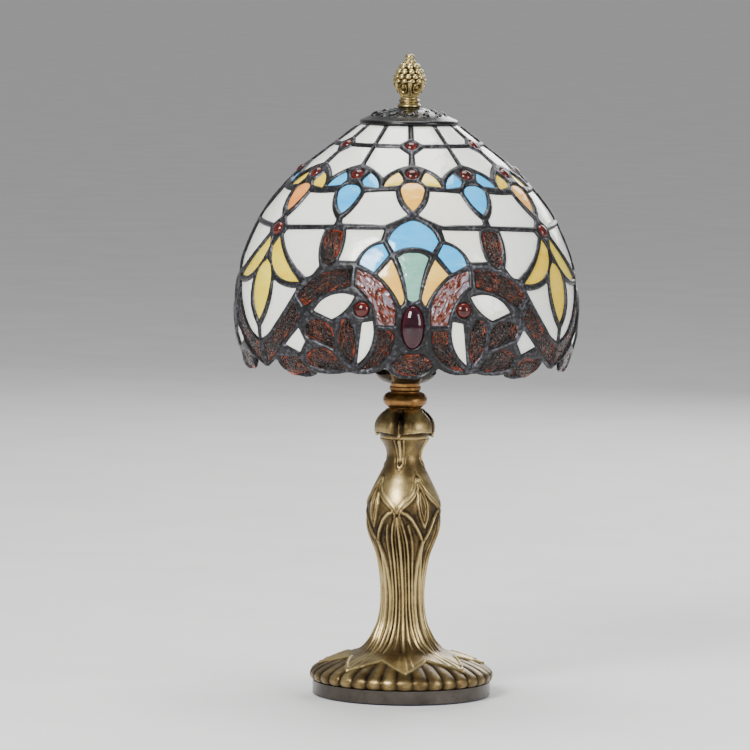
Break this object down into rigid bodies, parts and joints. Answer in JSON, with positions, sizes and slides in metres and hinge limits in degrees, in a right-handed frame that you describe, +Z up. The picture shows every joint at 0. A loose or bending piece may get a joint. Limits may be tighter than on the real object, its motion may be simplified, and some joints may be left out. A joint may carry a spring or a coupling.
{
  "type": "stained glass table lamp",
  "caption": "Table lamp with a domed leaded glass shade of flower and scroll motifs on a cast bronze-finish pedestal with a ribbed round foot and pine cone finial.",
  "frame": {"origin": "middle of the felt underside of the foot", "axes": "+Z up along the stem, front of the shade's motif toward -Y"},
  "size_m": [0.2004, 0.2041, 0.375],
  "materials": {
    "felt": "felt",
    "drum_paint": "satin bronze paint",
    "bronze": "antique bronze over cast metal",
    "iron": "raw",
    "steel": "zinc plated",
    "brass": "antique brass",
    "old_brass": "dark antique brass",
    "black_cap": "gloss black patina",
    "solder": "dark patina solder",
    "phenolic": "moulded",
    "bushing_black": "moulded",
    "rubber_black": "plain",
    "bulb_clear": "frosted",
    "bulb_white": "clear stem",
    "tungsten": "led strands",
    "aluminium_cap": "threaded",
    "cream_glass": "opalescent",
    "gold_glass": "streaky",
    "amber_glass": "streaky",
    "blue_glass": "opalescent",
    "green_glass": "opalescent",
    "brown_glass": "ripple textured",
    "streaky_red": "streaky ripple",
    "red_glass": "polished",
    "plum_glass": "polished"
  },
  "bodies": {
    "stand": {"felt_pad": "felt", "base_plate": "drum_paint", "plate_screws": "steel", "ballast_disc": "iron", "cord_bushing": "bushing_black", "pedestal_casting": "bronze", "bud_casting": "bronze", "stem_pipe": "steel", "stem_washer": "steel", "stem_nut": "brass", "neck_ring": "old_brass", "neck_collar": "old_brass", "socket_cup": "bronze", "harp_saddle": "brass", "harp_bow": "brass", "harp_stud": "brass", "lampholder_cap": "brass", "lampholder_shell": "brass", "socket_insulator": "phenolic", "socket_screw_shell": "brass", "socket_contact": "brass"},
    "shade": {"vase_cap": "black_cap", "cap_washer": "rubber_black", "leading_a": "solder", "leading_b": "solder", "leading_c": "solder", "crown_glass": "cream_glass", "collar_glass": "cream_glass", "shoulder_glass": "cream_glass", "field_glass": "cream_glass", "wing_glass": "cream_glass", "crest_glass": "blue_glass", "fan_side_glass": "blue_glass", "fan_amber_glass": "amber_glass", "heart_glass": "green_glass", "flame_side_glass": "gold_glass", "flame_middle_glass": "gold_glass", "teardrop_glass": "brown_glass", "streaky_glass": "streaky_red", "band_upper_glass": "brown_glass", "band_lower_glass": "brown_glass", "leaf_glass": "brown_glass", "keystone_glass": "brown_glass", "white_accents": "cream_glass", "gold_petals": "gold_glass", "gold_drops": "amber_glass", "blue_petals": "blue_glass", "blue_drops": "blue_glass", "red_cabochons": "red_glass", "eye_jewels": "red_glass", "oval_jewels": "plum_glass"},
    "bulb": {"bulb_glass": "bulb_clear", "bulb_cap": "aluminium_cap", "bulb_contact": "aluminium_cap", "bulb_mount": "bulb_white", "bulb_filament": "tungsten"},
    "finial_thread": {"finial_insert": "brass"},
    "finial": {"finial_cone": "brass"}
  },
  "joints": [
    {"name": "shade_swivel", "type": "hinge", "parent": "stand", "child": "shade", "pos_m": [0, 0, 0.341], "axis": [0, 0, 1], "continuous": true},
    {"name": "finial_rise", "type": "slide", "parent": "stand", "child": "finial_thread", "axis": [0, 0, 1], "range_m": [0, 0.008]},
    {"name": "finial_turn", "type": "hinge", "parent": "finial_thread", "child": "finial", "pos_m": [0, 0, 0.3437], "axis": [0, 0, 1], "range_deg": [0, 3061]},
    {"name": "bulb_lift", "type": "slide", "parent": "stand", "child": "bulb", "axis": [0, 0, 1], "range_m": [0, 0.018]}
  ],
  "couplings": [
    {"joint": "finial_turn", "follows": "finial_rise", "rad_per_m": 6677.1}
  ]
}
